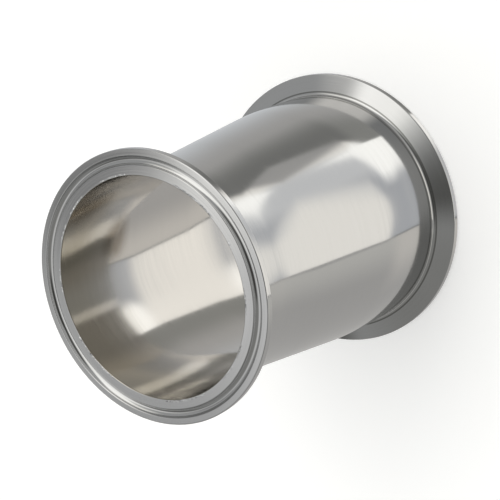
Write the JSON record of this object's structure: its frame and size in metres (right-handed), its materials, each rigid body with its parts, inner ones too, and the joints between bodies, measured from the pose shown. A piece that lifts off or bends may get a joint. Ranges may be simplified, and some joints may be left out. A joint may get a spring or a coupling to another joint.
{
  "type": "sanitary clamp reducer",
  "caption": "Concentric tube reducer: a thin-walled cone between grooved clamp ferrules, open from face to face, for joining a smaller sanitary tube to a larger one.",
  "frame": {"origin": "centre of the large sealing face, which the part stands on", "axes": "+Z along the flow axis from the large end to the small end; X and Y lie in the large sealing face"},
  "size_m": [0.119, 0.119, 0.1325],
  "materials": {
    "turned_stainless": "turned stainless steel, fine circular tool marks, satin to bright",
    "satin_stainless": "polished stainless tube, soft satin outside, finely brushed around the bore inside"
  },
  "bodies": {
    "root": {"small_ferrule": "turned_stainless", "reducer_cone": "satin_stainless", "large_ferrule": "turned_stainless"}
  },
  "joints": []
}
